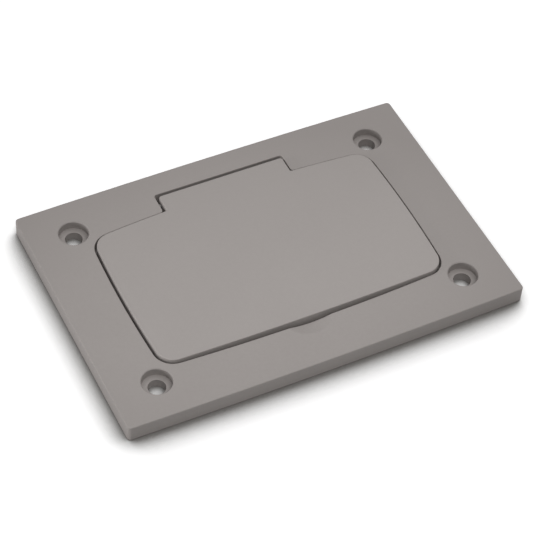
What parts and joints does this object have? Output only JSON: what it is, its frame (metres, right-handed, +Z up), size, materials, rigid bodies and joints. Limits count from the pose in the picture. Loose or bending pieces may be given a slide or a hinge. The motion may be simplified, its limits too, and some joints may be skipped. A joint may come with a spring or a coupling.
{
  "type": "floor box cover",
  "caption": "Rectangular moulded cover plate for a single-gang floor box, with a hinged flip lid, thumb scoop and counterbored corner screw holes.",
  "frame": {"origin": "middle of the underside, on the plane that the plate rests on", "axes": "+X along the plate's long side, +Y towards the lid's hinge, +Z up out of the floor"},
  "size_m": [0.1334, 0.09, 0.0068],
  "materials": {
    "frame_plastic": "moulded rigid PVC, warm grey, fine matte texture",
    "lid_plastic": "moulded rigid PVC, warm grey, fine matte texture",
    "pin_steel": "ground stainless steel",
    "lid_seal_rubber": "black moulded rubber",
    "floor_seal_foam": "black closed-cell foam rubber"
  },
  "bodies": {
    "cover": {"cover_frame": "frame_plastic", "lid_seal": "lid_seal_rubber", "floor_seal": "floor_seal_foam"},
    "lid": {"flip_lid": "lid_plastic", "hinge_pin_left": "pin_steel", "hinge_pin_right": "pin_steel"}
  },
  "joints": [
    {"name": "lid_hinge", "type": "hinge", "parent": "cover", "child": "lid", "pos_m": [0, 0.0329, 0.0039], "axis": [-1, 0, 0], "range_deg": [0, 105]}
  ]
}
